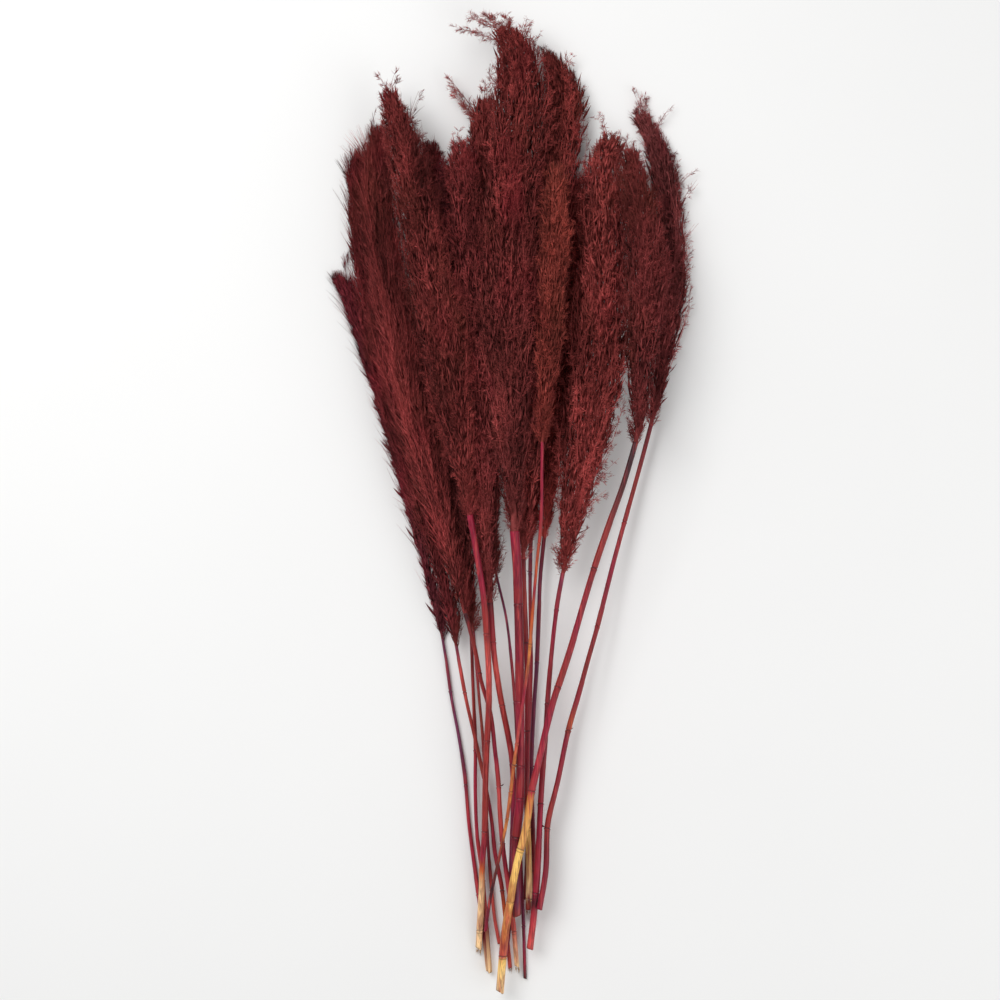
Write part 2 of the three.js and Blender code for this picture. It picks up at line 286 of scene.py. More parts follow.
class ReedSettings(bpy.types.PropertyGroup):
    """Sizes of the reed stems."""

    sides: bpy.props.IntProperty(name="Sides", description="Faces round a stem", default=18, min=8)
    step: bpy.props.FloatProperty(
        name="Step", description="Length between two rings of a stem", default=2.2 * MM, unit="LENGTH"
    )
    ridge: bpy.props.FloatProperty(
        name="Joint Ridge", description="Height of the ridge round a joint",
        default=0.42 * MM, unit="LENGTH",
    )
    sheath: bpy.props.FloatProperty(
        name="Sheath", description="Thickness of the leaf sheath left on a stem",
        default=0.2 * MM, unit="LENGTH",
    )
    bore: bpy.props.FloatProperty(
        name="Bore", description="Width of the hollow over the width of the stem",
        default=0.56, subtype="FACTOR",
    )
    bore_depth: bpy.props.FloatProperty(
        name="Bore Depth", description="How deep the hollow of a cut end can be seen",
        default=7 * MM, unit="LENGTH",
    )


class PlumeSettings(bpy.types.PropertyGroup):
    """Sizes and colours of the plumes."""

    density: bpy.props.FloatProperty(
        name="Density", description="Spikelets for each square millimetre of a plume", default=2.6
    )
    most: bpy.props.IntProperty(name="Most", description="Most spikelets in one plume", default=45500)
    for_shoot: bpy.props.IntProperty(
        name="On a Shoot", description="Spikelets on one side shoot", default=16
    )
    # The inner slivers are dark as painted shade inside the plumes.
    tufts: bpy.props.FloatProperty(
        name="Inner Slivers", description="Dark slivers for each square millimetre of a plume", default=0.2
    )
    spread: bpy.props.FloatProperty(
        name="Spread", description="How far the branches fill the plume's outline",
        default=0.9, subtype="FACTOR",
    )
    clearance: bpy.props.FloatProperty(
        name="Clearance", description="Least height of the fluff over the floor",
        default=0.3 * MM, unit="LENGTH",
    )
    headroom: bpy.props.FloatProperty(
        name="Headroom", description="Most that the fluff stands over the solid bundle",
        default=10 * MM, unit="LENGTH",
    )
    strength: bpy.props.FloatProperty(
        name="Dye Strength", description="Brightness of every plume's dye", default=1.9
    )
    shadow: bpy.props.FloatProperty(
        name="Darkest", description="Darkest strand over the dye", default=0.3, subtype="FACTOR"
    )
    light: bpy.props.FloatProperty(
        name="Palest", description="Palest strand over the dye", default=1.9
    )
    crimson: bpy.props.FloatVectorProperty(
        name="Crimson Patches", description="Dye where the plume took more of it", size=3,
        default=shade(136, 30, 46), subtype="COLOR",
    )
    brown: bpy.props.FloatVectorProperty(
        name="Brown Patches", description="Dye where the plume took less of it", size=3,
        default=shade(110, 52, 42), subtype="COLOR",
    )


class StageSettings(bpy.types.PropertyGroup):
    """Floor, lights and camera."""

    floor: bpy.props.FloatVectorProperty(
        name="Floor", description="Colour of the floor", size=3,
        default=(0.86, 0.86, 0.855), subtype="COLOR",
    )
    view_width: bpy.props.FloatProperty(
        name="View Width", description="Width that the picture takes in", default=1.0, unit="LENGTH"
    )
    sharp_height: bpy.props.FloatProperty(
        name="View Height", description="Height over the floor where the view has that width",
        default=20 * MM, unit="LENGTH",
    )
    lens: bpy.props.FloatProperty(
        name="Lens", description="Focal length of the camera, in millimetres", default=85.0
    )
    key_power: bpy.props.FloatProperty(
        name="Key Light", description="Power of the main light", default=50.0, unit="POWER"
    )
    fill_power: bpy.props.FloatProperty(
        name="Fill Light", description="Power of the weaker light", default=17.0, unit="POWER"
    )
    daylight: bpy.props.FloatProperty(
        name="Daylight", description="Strength of the light from all round", default=0.42
    )


# ---- Reading the frame ----


class Course:
    """Values known at some places along a stalk, smoothed between them."""

    def __init__(self, places, values):
        self.places = np.asarray(places, float)
        self.values = np.asarray(values, float)
        self.slopes = np.gradient(self.values, self.places)

    def at(self, y):
        """The values at y, carried on straight beyond either end."""
        y = np.asarray(y, float)
        inside = np.clip(y, self.places[0], self.places[-1])
        i = np.clip(np.searchsorted(self.places, inside) - 1, 0, len(self.places) - 2)
        span = self.places[i + 1] - self.places[i]
        u = (inside - self.places[i]) / span
        start = self.values[i] * (1 + 2 * u) * (1 - u) ** 2
        end = self.values[i + 1] * u**2 * (3 - 2 * u)
        lean = span * u * (1 - u) * (self.slopes[i] * (1 - u) - self.slopes[i + 1] * u)
        beyond = np.where(y < self.places[0], self.slopes[0], self.slopes[-1]) * (y - inside)
        return start + end + lean + beyond


SAME_RING = 0.1 * MM  # rings nearer to each other than this are one
RING_FLAT = math.cos(math.pi / 8)  # half the height of an eight-sided ring over its radius


def rings_of(node):
    """The rings that a CAD node is made of, from its low end: place, middle and half sizes."""
    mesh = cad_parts[node].data
    co = np.empty(len(mesh.vertices) * 3, np.float32)
    mesh.vertices.foreach_get("co", co)
    co = co.reshape(-1, 3).astype(float)
    co = co[np.argsort(co[:, 1])]
    groups = np.split(co, np.nonzero(np.diff(co[:, 1]) > SAME_RING)[0] + 1)
    low = np.array([g.min(0) for g in groups if len(g) > 3])
    high = np.array([g.max(0) for g in groups if len(g) > 3])
    middle, half = (low + high) / 2, (high - low) / 2
    return SimpleNamespace(
        x=middle[:, 0], y=middle[:, 1], z=middle[:, 2], width=half[:, 0], depth=half[:, 2]
    )


def stalk_names():
    """The stalks of the bundle, by the names of their stems."""
    return sorted(node[len("stem_"):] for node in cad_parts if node.startswith("stem_"))


def seed_of(name):
    """A fixed number for a stalk, so that it grows the same way every time."""
    return 1000 + stalk_names().index(name)


# ---- Growing meshes ----


class Growth:
    """Points, faces and their marks, gathered until they make one piece."""

    def __init__(self):
        self.points, self.faces, self.maps, self.marks = [], [], [], []
        self.slivers = []
        self.count = 0

    def add(self, points, faces, maps, **marks):
        """faces and maps are lists of arrays, each for faces with one number of corners."""
        points = points.reshape(-1, 3)
        for corners, places in zip(faces, maps, strict=True):
            self.faces.append(corners + self.count)
            self.maps.append(places)
        self.points.append(points)
        self.marks.append({k: np.broadcast_to(v, len(points)).astype(np.float32) for k, v in marks.items()})
        self.count += len(points)

    def piece(self, name, material):
        """One object with all that was gathered."""
        mesh = bpy.data.meshes.new(name)
        points = np.concatenate(self.points).astype(np.float32)
        corners = np.concatenate([f.ravel() for f in self.faces]).astype(np.int32)
        sizes = np.concatenate([np.full(len(f), f.shape[1], np.int32) for f in self.faces])
        mesh.vertices.add(len(points))
        mesh.vertices.foreach_set("co", points.ravel())
        mesh.loops.add(len(corners))
        mesh.loops.foreach_set("vertex_index", corners)
        mesh.polygons.add(len(sizes))
        starts = np.concatenate([[0], np.cumsum(sizes)[:-1]]).astype(np.int32)
        mesh.polygons.foreach_set("loop_start", starts)
        mesh.polygons.foreach_set("use_smooth", np.ones(len(sizes), bool))
        mesh.update(calc_edges=True)
        layer = mesh.uv_layers.new(name="OFBake")
        places = np.concatenate([m.ravel() for m in self.maps]).astype(np.float32)
        layer.uv.foreach_set("vector", places)
        for mark in self.marks[0]:
            values = np.concatenate([m[mark] for m in self.marks])
            mesh.attributes.new(mark, "FLOAT", "POINT").data.foreach_set("value", values)
        mesh.materials.append(material)
        made = bpy.data.objects.new(name, mesh)
        bpy.context.scene.collection.objects.link(made)
        return made


def unit(vectors):
    """The same directions with a length of one."""
    return vectors / np.maximum(np.linalg.norm(vectors, axis=-1, keepdims=True), 1e-12)


def crosswise(directions):
    """Two directions at right angles to each of the given ones and to each other."""
    side = unit(np.cross(directions, np.array([0.0, 0.0, 1.0])) + 1e-9)
    return side, np.cross(directions, side)


def spokes(directions, turn):
    """Directions at right angles to the given ones, at the given angles round them."""
    side, up = crosswise(directions)
    return np.cos(turn)[..., None] * side[..., None, :] + np.sin(turn)[..., None] * up[..., None, :]


def tube_walls(rings, sides):
    """For each face of a tube's wall: its ring, its place round the ring, and its four corners."""
    ring, place = (n.ravel() for n in np.meshgrid(np.arange(rings - 1), np.arange(sides), indexing="ij"))
    a, b = ring * sides + place, ring * sides + (place + 1) % sides
    return ring, place, np.stack([a, b, b + sides, a + sides], -1)


def cell_corners(number, total, low, high):
    """The low corner and the size of each of a number of equal cells in a strip of the map."""
    across = max(1, math.ceil(math.sqrt(total / (high - low))))
    rows = math.ceil(total / across)
    size = np.array([1 / across, (high - low) / rows])
    corner = np.stack([number % across, number // across], -1) * size + [0, low]
    return corner, size


SPIKELET_FACES = np.array([[0, 2, 1], [3, 1, 2], [0, 3, 2], [1, 3, 0]])
SPIKELET_MAP = np.array(
    [[[1, 0], [2, 2], [0, 2]], [[1, 4], [0, 2], [2, 2]], [[3, 0], [3, 4], [4, 2]], [[2, 2], [3, 4], [3, 0]]]
) * 0.235 + 0.02


def spikelets(growth, rng, base, direction, length, radius, low, high, belly=0.36, **marks):
    """Closed slivers of four faces, from base along direction."""
    n = len(base)
    roll = rng.uniform(0, 2 * math.pi, (n, 1)) + np.array([0, 2 * math.pi / 3])
    pair = (base + direction * (length * belly)[:, None])[:, None]
    pair = pair + spokes(direction, roll) * radius[:, None, None]
    tip = base + direction * length[:, None]
    points = np.concatenate([base[:, None], pair, tip[:, None]], 1)
    faces = (np.arange(n) * 4)[:, None, None] + SPIKELET_FACES
    corner, size = cell_corners(np.arange(n), n, low, high)
    maps = corner[:, None, None] + SPIKELET_MAP * size
    spread = {k: np.repeat(np.broadcast_to(v, n), 4) for k, v in marks.items()}
    spread["tip"] = np.tile([0, belly, belly, 1], n)
    growth.add(points, [faces.reshape(-1, 3)], [maps.reshape(-1, 3, 2)], **spread)
    growth.slivers.append(points)


def twigs(growth, paths, radius, low, high, sides=3, **marks):
    """Closed tapering tubes along many paths of one number of points; radius has a value for each point."""
    n, steps = paths.shape[:2]
    along = unit(np.gradient(paths, axis=1))
    turn = np.arange(sides) * 2 * math.pi / sides
    rings = paths[:, :, None] + spokes(along, turn) * radius[..., None, None]
    ends = paths[:, [0, -1]] + along[:, [0, -1]] * np.array([-1, 1])[:, None] * radius[:, [0, -1], None]
    points = np.concatenate([rings.reshape(n, -1, 3), ends], 1)
    each = steps * sides + 2
    ring, place, walls = tube_walls(steps, sides)
    j = np.arange(sides)
    last = (steps - 1) * sides
    start_cap = np.stack([(j + 1) % sides, j, np.full(sides, each - 2)], -1)
    end_cap = np.stack([last + j, last + (j + 1) % sides, np.full(sides, each - 1)], -1)
    caps = np.concatenate([start_cap, end_cap])
    corner, size = cell_corners(np.arange(n), n, low, high)
    v = np.array([0, 0, 1, 1]) + ring[:, None] + 1
    u = np.array([0, 1, 1, 0]) * 0.9 + place[:, None]
    wall_map = np.stack([u / sides, v / (steps + 1)], -1)
    cap_u = np.stack([j + 0.9, j, j + 0.5], -1) / sides
    low_v = np.tile([0.9, 0.9, 0.1], (sides, 1)) / (steps + 1)
    high_v = (steps + np.tile([0.1, 0.1, 0.8], (sides, 1))) / (steps + 1)
    cap_map = np.stack([np.concatenate([cap_u, cap_u]), np.concatenate([low_v, high_v])], -1)
    first = (np.arange(n) * each)[:, None, None]
    growth.add(
        points,
        [(first + walls).reshape(-1, 4), (first + caps).reshape(-1, 3)],
        [
            (corner[:, None, None] + wall_map * size * 0.96).reshape(-1, 4, 2),
            (corner[:, None, None] + cap_map * size * 0.96).reshape(-1, 3, 2),
        ],
        tip=np.tile(np.concatenate([np.repeat(np.linspace(0, 1, steps), sides), [0, 1]]), n),
        **{k: np.repeat(np.broadcast_to(v, n), each) for k, v in marks.items()},
    )


# ---- Plumes ----

# The rows of the map, from 0 to 1, that each kind of part takes up. Spikelets, the skirt's spikelets
# and those of stray sprays are a piece of their own, so their rows start again from 0.
BRANCH_MAP = (0.0, 0.14)
BRANCHLET_MAPS = (0.145, 0.27), (0.275, 0.4)
STRAND_MAP = (0.405, 0.65)
TUFT_MAP = (0.655, 0.86)
STRAY_SHOOT_MAPS = (0.865, 0.875), (0.88, 0.89)
AXIS_MAP = (0.895, 1.0)
SPIKELET_MAPS = (0.0, 0.92)
SKIRT_MAPS = (0.925, 0.97)
STRAY_MAPS = (0.972, 1.0)
BLUNT_TIP = 7 * MM  # half the width of the fluff at the tip
ROUNDED_TIP = 70 * MM  # the length over which the fluff narrows to that
FULL_WIDTH = 24 * MM  # half the width of a plume where its branchlets are at their longest
BRANCH_POINTS = 9
BRANCH_RADII = (0.42, 0.14)  # in mm, of a branch at its start and its end
SHOOT_RADIUS = 0.15 * MM
STRAND_RADII = (0.14, 0.28)  # in mm, of the thinnest and the thickest strand
SPIKELET_RADII = (0.13 * MM, 0.6 * MM)
SHORTEST_SPIKELET = 2.2  # mm
SPRAY_BRANCHES = 3
AXIS_POINTS = 48
AXIS_FADE = 60 * MM  # over this length the axis grows thin
SKIRT_SHOOTS = 110
INNER_REACH = 0.74  # how far out the inner slivers get, over the plume's half width
# Painted shade at the bottom of each plume and painted light at its top.
PAINTED_SHADE_AND_LIGHT = 0.24  # how much darker or paler a strand is at the bottom or the top of its plume
PRESS = 1.2 * MM  # how softly fluff is pressed together


def plume_course(name, settings):
    """A plume's middle line and the half sizes of its fluff, from its CAD solid."""
    r = rings_of("plume_" + name)
    wide, shorter, top = PLUMES[name].trim
    tip = r.y[-1] - shorter * MM
    share = np.clip((r.y - r.y[0]) / (tip - r.y[0]), 0, 1)
    rounded = np.sqrt(np.clip(1 - np.clip((r.y - tip) / ROUNDED_TIP + 1, 0, 1) ** 2, 0, 1))
    more = settings.spread * wide * (1 + top * share**3) * rounded
    return SimpleNamespace(
        foot=r.y[0],
        tip=tip,
        length=tip - r.y[0],
        x=Course(r.y, r.x),
        z=Course(r.y, r.z),
        width=Course(r.y, np.hypot(r.width * more, BLUNT_TIP * share**2)),
        depth=Course(r.y, np.hypot(r.depth * more, 0.7 * BLUNT_TIP * share**2) + 1 * MM),
    )


def lean_over(y, course, kind):
    """How far the end of a plume has leant over sideways at y."""
    aside, over = kind.lean
    past = np.clip((y - course.tip) / (over * MM) + 1, 0, 1.4)
    return aside * MM * past**2


def middle_of(course, kind, y):
    """The points of a plume's middle line at y."""
    return np.stack([course.x.at(y) + lean_over(y, course, kind), y, course.z.at(y)], -1)


def branch_paths(rng, course, habit, kind):
    """Branches that swing out from the plume's axis and run on along it, and how far out each gets."""
    count = round(habit.branches * course.length / (100 * MM))
    start = course.foot + rng.beta(1.0, 1.15, count) * 0.93 * course.length
    reach = habit.reach * rng.uniform(0.6, 1.25, count)
    end = np.minimum(start + reach, course.tip - np.abs(rng.normal(0, 0.026, count)))
    end = np.maximum(end, start + 0.015)
    t = np.linspace(0, 1, BRANCH_POINTS)
    y = start[:, None] + (end - start)[:, None] * t
    out = rng.uniform(0.05, 1.0, count) ** 0.6
    turn = rng.uniform(0, 2 * math.pi, count)[:, None] + rng.normal(0, 0.35, count)[:, None] * t
    swing = out[:, None] * (1 - (1 - t) ** habit.opening)
    paths = middle_of(course, kind, y)
    paths[..., 0] += course.width.at(y) * swing * np.cos(turn)
    paths[..., 2] += course.depth.at(y) * swing * np.sin(turn)
    wander = rng.normal(0, habit.curl * 2 * MM, (count, 1, 3)) * np.sin(
        rng.uniform(0, 2 * math.pi, (count, 1, 3)) + t[:, None] * rng.uniform(3, 8, (count, 1, 3))
    )
    return paths + wander * t[:, None], out


def spray_paths(rng, course, kind):
    """The plume's own stray sprays, each a few branches side by side, and their numbers of spikelets."""
    paths, counts = [], []
    t = np.linspace(0, 1, BRANCH_POINTS)
    for start, across, along, number in kind.sprays:
        for _ in range(SPRAY_BRANCHES):
            y0 = np.array([course.foot + start * course.length])
            aside, forward = np.array([across, along]) * MM * rng.uniform(0.75, 1.05)
            path = middle_of(course, kind, y0) + np.zeros((BRANCH_POINTS, 3))
            path[:, 1] += forward * t
            path[:, 0] += aside * t**1.5 + rng.normal(0, 2.5 * MM) * t
            path[:, 2] += course.depth.at(y0) * rng.uniform(-0.2, 0.7) * t**0.5
            paths.append(path)
            counts.append(number // SPRAY_BRANCHES)
    return np.array(paths), np.array(counts)


def along_paths(paths, which, t):
    """Points and directions at t along the given paths."""
    place = t * (paths.shape[1] - 1)
    i = np.minimum(place.astype(int), paths.shape[1] - 2)
    a, b = paths[which, i], paths[which, i + 1]
    return a + (b - a) * (place - i)[:, None], unit(b - a)


def splayed(rng, direction, degrees, outward):
    """Directions turned away from the given ones by the given angles, mostly to the outward side."""
    aside = rng.normal(0, 1, direction.shape) + outward
    aside = unit(aside - direction * (aside * direction).sum(-1, keepdims=True))
    angle = np.radians(degrees)[:, None]
    return direction * np.cos(angle) + aside * np.sin(angle)


def bent(base, start, end, length, steps):
    """Paths that set off in one direction and turn towards another."""
    s = np.linspace(0, 1, steps)[:, None]
    way = start[:, None] * s + (end - start)[:, None] * s**2 / 2
    return base[:, None] + length[:, None, None] * way


def pressed(room):
    """Room, where none may be less than nothing: ample room stays as it is, and too little is eased."""
    return np.where(room > 20, room, np.log1p(np.exp(np.minimum(room, 20))))


def keep_within(growth, low, high):
    """Presses together, softly, what would sink into the floor or stand too high.

    A sliver pressed inside out has its two belly points exchanged, which turns it out again.
    """
    for points in growth.points:
        points[:, 2] = low + PRESS * pressed((points[:, 2] - low) / PRESS)
        points[:, 2] = high - PRESS * pressed((high - points[:, 2]) / PRESS)
    for sliver in growth.slivers:
        inside_out = np.linalg.det(sliver[:, 1:] - sliver[:, :1]) < 0
        sliver[inside_out, 1:3] = sliver[inside_out, 2:0:-1]


class Plume:
    """One plume as it grows."""

    def __init__(self, name, settings):
        self.name, self.settings = name, settings
        self.rng = np.random.default_rng(seed_of(name))
        self.kind = PLUMES[name]
        self.habit = HABITS[self.kind.habit]
        self.course = plume_course(name, settings)
        self.growth = Growth()
        self.spikelets = Growth()

    def outward(self, points):
        """Directions away from the plume's middle line."""
        return unit(points - middle_of(self.course, self.kind, points[:, 1]))

    def tone_with_painted_shade(self, points, tone):
        """Painted shade and light: a strand low in a plume is darker, as if in its shade, and one high in
        it paler, as if in the light.
        """
        lift = (points[:, 2] - self.course.z.at(points[:, 1])) / self.course.depth.at(points[:, 1])
        return np.clip(tone + PAINTED_SHADE_AND_LIGHT * np.clip(lift, -1.3, 1.3), 0.0, 1.0)

    def area(self):
        """The plume's area as seen from above, in square mm."""
        y = np.linspace(self.course.foot, self.course.tip, 50)
        return self.course.width.at(y).mean() * 2 * self.course.length / MM**2

    def branchlets(self, paths, tones, counts, least):
        """Short side shoots of the branches: (paths, tones). They shrink where the plume is narrow."""
        rng, habit = self.rng, self.habit
        size, angle, vary = habit.fork
        which = np.repeat(np.arange(len(paths)), counts)
        t = rng.uniform(0.08, 1.0, len(which)) ** 0.8
        base, direction = along_paths(paths, which, t)
        start = splayed(rng, direction, rng.normal(angle, vary, len(which)), 1.1 * self.outward(base))
        end = unit(direction + rng.normal(0, habit.curl, start.shape))
        room = np.clip(self.course.width.at(base[:, 1]) / FULL_WIDTH, least, 1)
        length = size * rng.uniform(0.55, 1.25, len(which)) * room * (1.15 - 0.45 * t)
        tone = np.clip(tones[which] + rng.normal(0, 0.1, len(which)), 0, 1)
        # The tones carry painted shade low in the plume and painted light high in it.
        return bent(base, start, end, length, 3), self.tone_with_painted_shade(base, tone)

    def fluff(self, paths, tones, counts, rows):
        """Spikelets along the given paths."""
        rng, habit = self.rng, self.habit
        which = np.repeat(np.arange(len(paths)), counts)
        t = rng.beta(1.3, 1.0, len(which))
        base, direction = along_paths(paths, which, t)
        angle = rng.normal(*habit.splay, len(which))
        direction = splayed(rng, direction, angle, 0.5 * self.outward(base))
        length = np.maximum(rng.normal(*habit.spikelet, len(which)), SHORTEST_SPIKELET)
        length = length * MM * (1.12 - 0.35 * t)
        radius = length * habit.thickness * rng.uniform(0.7, 1.3, len(which)) / 2
        radius = np.clip(radius, *SPIKELET_RADII)
        tone = np.clip(tones[which] + rng.normal(0, 0.1, len(which)), 0, 1)
        spikelets(self.spikelets, rng, base, direction, length, radius, *rows, tone=tone)

    def strands(self, paths, tones, count, sizes, widths, rows):
        """Long hairs that lie along the branches and bend a little."""
        rng = self.rng
        which = rng.integers(0, len(paths), count)
        t = rng.uniform(0.03, 0.97, count)
        base, direction = along_paths(paths, which, t)
        start = splayed(rng, direction, np.abs(rng.normal(0, 8, count)) + 2, 0.0)
        end = unit(start + rng.normal(0, 0.2, start.shape))
        length = rng.uniform(*sizes, count) * MM
        length = np.minimum(length, np.maximum(self.course.tip + 6 * MM - base[:, 1], 6 * MM))
        radius = np.outer(rng.uniform(*widths, count), [0.7, 1.0, 0.8, 0.2]) * MM
        # The tones carry painted shade low in the plume and painted light high in it.
        tone = self.tone_with_painted_shade(base, np.clip(tones[which] + rng.normal(0.02, 0.27, count), 0, 1))
        twigs(self.growth, bent(base, start, end, length, 4), radius, *rows, tone=tone)

    def axis(self):
        """The upper end of the stem, which carries the branches and fades out in the tip."""
        neck = rings_of("stem_" + self.name)
        radius = neck.depth[-1] / RING_FLAT
        y = np.linspace(self.course.foot - 1.5 * MM, self.course.tip - 8 * MM, AXIS_POINTS)
        sizes = radius * 0.96 * (0.12 + 0.88 * np.exp(-(y - y[0]) / AXIS_FADE))
        path = middle_of(self.course, self.kind, y)
        twigs(self.growth, path[None], sizes[None], *AXIS_MAP, sides=8, tone=0.35)
        self.skirt(radius)

    def skirt(self, radius):
        """Loose shoots that hang round the place where the stem ends."""
        rng, habit = self.rng, self.habit
        count = SKIRT_SHOOTS
        turn = rng.uniform(0, 2 * math.pi, count)
        y = self.course.foot + rng.uniform(-3, 36, count) * MM
        round_ = np.stack([np.cos(turn), np.zeros(count), np.sin(turn)], -1)
        base = middle_of(self.course, self.kind, y) + round_ * radius * 0.8
        angle = habit.fork[1] / 57  # from degrees to about radians
        start = unit(round_ * rng.uniform(0.6 * angle, 2.2 * angle, (count, 1)) + [0, 1, 0])
        end = unit(round_ * rng.uniform(-0.3 * angle, 1.6 * angle, (count, 1)) + [0, 1, 0])
        length = habit.fork[0] * rng.uniform(0.45, 1.1, count)
        paths = bent(base, start, end, length, 3)
        tone = np.clip(rng.normal(0.38, 0.15, count), 0, 1)
        sizes = np.broadcast_to(np.array([0.26, 0.2, 0.1]) * MM, paths.shape[:2])
        twigs(self.growth, paths, sizes, *AXIS_MAP, tone=tone)
        self.fluff(paths, tone, rng.poisson(18, count), SKIRT_MAPS)

    def inner(self, number):
        """Broad slivers that fill the middle of the plume, dark as painted shade deep inside it."""
        rng, course = self.rng, self.course
        y = np.linspace(course.foot + 6 * MM, course.tip - 14 * MM, 200)
        share = np.cumsum(course.width.at(y))
        y = np.interp(rng.uniform(share[0], share[-1], number), share, y)
        turn = rng.uniform(0, 2 * math.pi, number)
        out = np.sqrt(rng.uniform(0, 1, number)) * INNER_REACH
        base = middle_of(course, self.kind, y)
        ahead = unit(middle_of(course, self.kind, y + 5 * MM) - base)
        base[:, 0] += course.width.at(y) * out * np.cos(turn)
        base[:, 2] += course.depth.at(y) * out * np.sin(turn) * 0.8
        direction = unit(ahead + rng.normal(0, 0.22, base.shape))
        length = np.minimum(rng.uniform(11, 22, number) * MM, np.maximum(course.tip - y, 6 * MM))
        radius = rng.uniform(1.0, 1.7, number) * MM
        # Painted shade: the slivers inside the plume take only the darkest tones.
        tone = self.tone_with_painted_shade(base, rng.uniform(0.0, 0.3, number))
        spikelets(self.growth, rng, base, direction, length, radius, *TUFT_MAP, belly=0.5, tone=tone)

    def grow(self):
        """The axis, branches, branchlets, spikelets, strands, inner tufts and stray sprays."""
        rng, growth, habit = self.rng, self.growth, self.habit
        paths, out = branch_paths(rng, self.course, habit, self.kind)
        # Painted shade: branches that stay near the axis, deep in the plume, are darker and those that
        # reach far out paler; the rest of each tone is random.
        tones = np.clip(0.4 + 0.15 * (out - 0.6) + rng.normal(0, 0.2, len(paths)), 0.02, 0.98)
        taper = np.linspace(*BRANCH_RADII, BRANCH_POINTS) * MM
        twigs(growth, paths, np.broadcast_to(taper, paths.shape[:2]), *BRANCH_MAP, tone=tones)
        number = min(self.settings.most, self.area() * self.settings.density)
        reach = np.linalg.norm(np.diff(paths, axis=1), axis=-1).sum(-1)
        share = reach * rng.uniform(0.7, 1.3, len(paths))
        shoots = np.maximum(2, share / share.sum() * number / self.settings.for_shoot).astype(int)
        stems = self.shoots(paths, tones, shoots, BRANCHLET_MAPS, SPIKELET_MAPS)
        count = int(len(stems) * habit.strands)
        self.strands(paths, tones, count, habit.strand, STRAND_RADII, STRAND_MAP)
        self.inner(int(self.area() * self.settings.tufts))
        if self.kind.sprays:
            self.stray(taper)
        self.axis()
        for grown in (growth, self.spikelets):
            keep_within(grown, self.settings.clearance, CAD_BOX[1].z + self.settings.headroom)

    def shoots(self, paths, tones, counts, shoot_maps, spikelet_map, least=0.3):
        """Branchlets along the given paths, each of two slivers, with the spikelets they carry."""
        stems, tones = self.branchlets(paths, tones, counts, least)
        for half, rows in enumerate(shoot_maps):
            way = stems[:, half + 1] - stems[:, half]
            length = np.linalg.norm(way, axis=-1) * 1.04
            radius = np.full(len(way), SHOOT_RADIUS)
            spikelets(self.growth, self.rng, stems[:, half], unit(way), length, radius, *rows, tone=tones)
        self.fluff(stems, tones, self.rng.poisson(self.settings.for_shoot, len(stems)), spikelet_map)
        return stems

    def stray(self, taper):
        """Loose sprays that stand out from the plume, mostly at its tip."""
        stray, numbers = spray_paths(self.rng, self.course, self.kind)
        tones = self.rng.uniform(0.2, 0.6, len(stray))
        twigs(self.growth, stray, np.broadcast_to(taper * 0.8, stray.shape[:2]), *AXIS_MAP, tone=tones)
        few = np.maximum(2, numbers // 7)
        self.shoots(stray, tones, few, STRAY_SHOOT_MAPS, STRAY_MAPS, 0.55)


def make_plume(name, settings):
    """One plume, as two pieces: its branching shoots, and the spikelets they carry."""
    plume = Plume(name, settings)
    plume.grow()
    material = fluff_material(name, plume.kind, settings)
    for label, grown in (("panicle_", plume.growth), ("spikelets_", plume.spikelets)):
        piece = grown.piece(label + name, material)
        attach(piece, "root")
        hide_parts("plume_" + name)


# ---- Reeds ----


WALL_STRIPS = 6  # the strips that a reed's long wall is cut into on the map
BUD_MAP = (0.0, 0.03)
BUD_THICKNESS = 0.17  # a bud's radius over its length
SPLINTERS = 14
REED_CLEARANCE = 0.05 * MM


def reed_course(name):
    """A reed's middle line, plain taper and joints, from its CAD solid."""
    r = rings_of("stem_" + name)
    radius = r.depth / RING_FLAT
    ends = np.interp(r.y, [r.y[0], r.y[-1]], [radius[0], radius[-1]])
    joints = [y for y, stands in zip(r.y, radius - ends, strict=True) if stands > 0.2 * MM]
    return SimpleNamespace(
        cut=r.y[0], foot=r.y[-1], x=Course(r.y, r.x), z=Course(r.y, r.z),
        butt=radius[0], neck=radius[-1], joints=np.array(joints),
    )


def reed_stations(course, settings):
    """Places of the rings along a reed, closer together round its joints."""
    y = [np.arange(course.cut, course.foot, settings.step), [course.foot]]
    for joint in course.joints:
        y.append(joint + np.linspace(-4, 4, 21) * MM)
    y = np.unique(np.round(np.concatenate(y), 6))
    return y[(y >= course.cut) & (y <= course.foot)]


